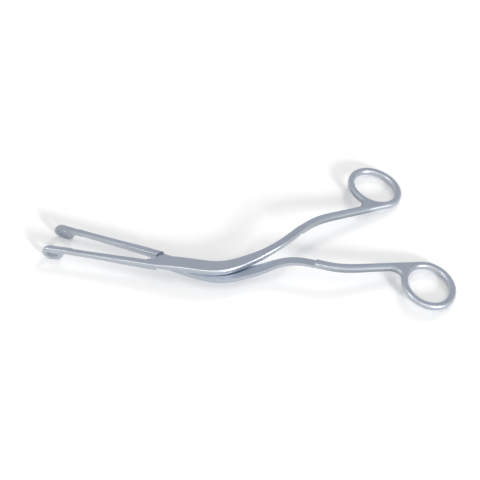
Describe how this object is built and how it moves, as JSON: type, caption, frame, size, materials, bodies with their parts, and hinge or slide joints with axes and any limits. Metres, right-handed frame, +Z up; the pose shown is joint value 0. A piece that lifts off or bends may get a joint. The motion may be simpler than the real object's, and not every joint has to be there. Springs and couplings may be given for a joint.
{
  "type": "magill forceps",
  "caption": "Long forceps with offset, humped shanks, oval windowed jaw loops with teeth, a lap joint on a screw and a finger ring on each arm.",
  "frame": {"origin": "on the table, under the middle of the whole tool's bounding box", "axes": "+X from the jaws towards the finger rings, +Y towards the side that the handles are offset to, +Z up, away from the table and along the screw"},
  "size_m": [0.26, 0.1444, 0.0158],
  "materials": {
    "steel": "satin stainless steel"
  },
  "bodies": {
    "lower": {"lower_arm": "steel"},
    "upper": {"upper_arm": "steel", "pivot_screw": "steel"}
  },
  "joints": [
    {"name": "jaw_pivot", "type": "hinge", "parent": "lower", "child": "upper", "pos_m": [-0.03334, -0.05976, 0.0079], "axis": [0, 0, 1], "range_deg": [-10.8, 24]}
  ]
}
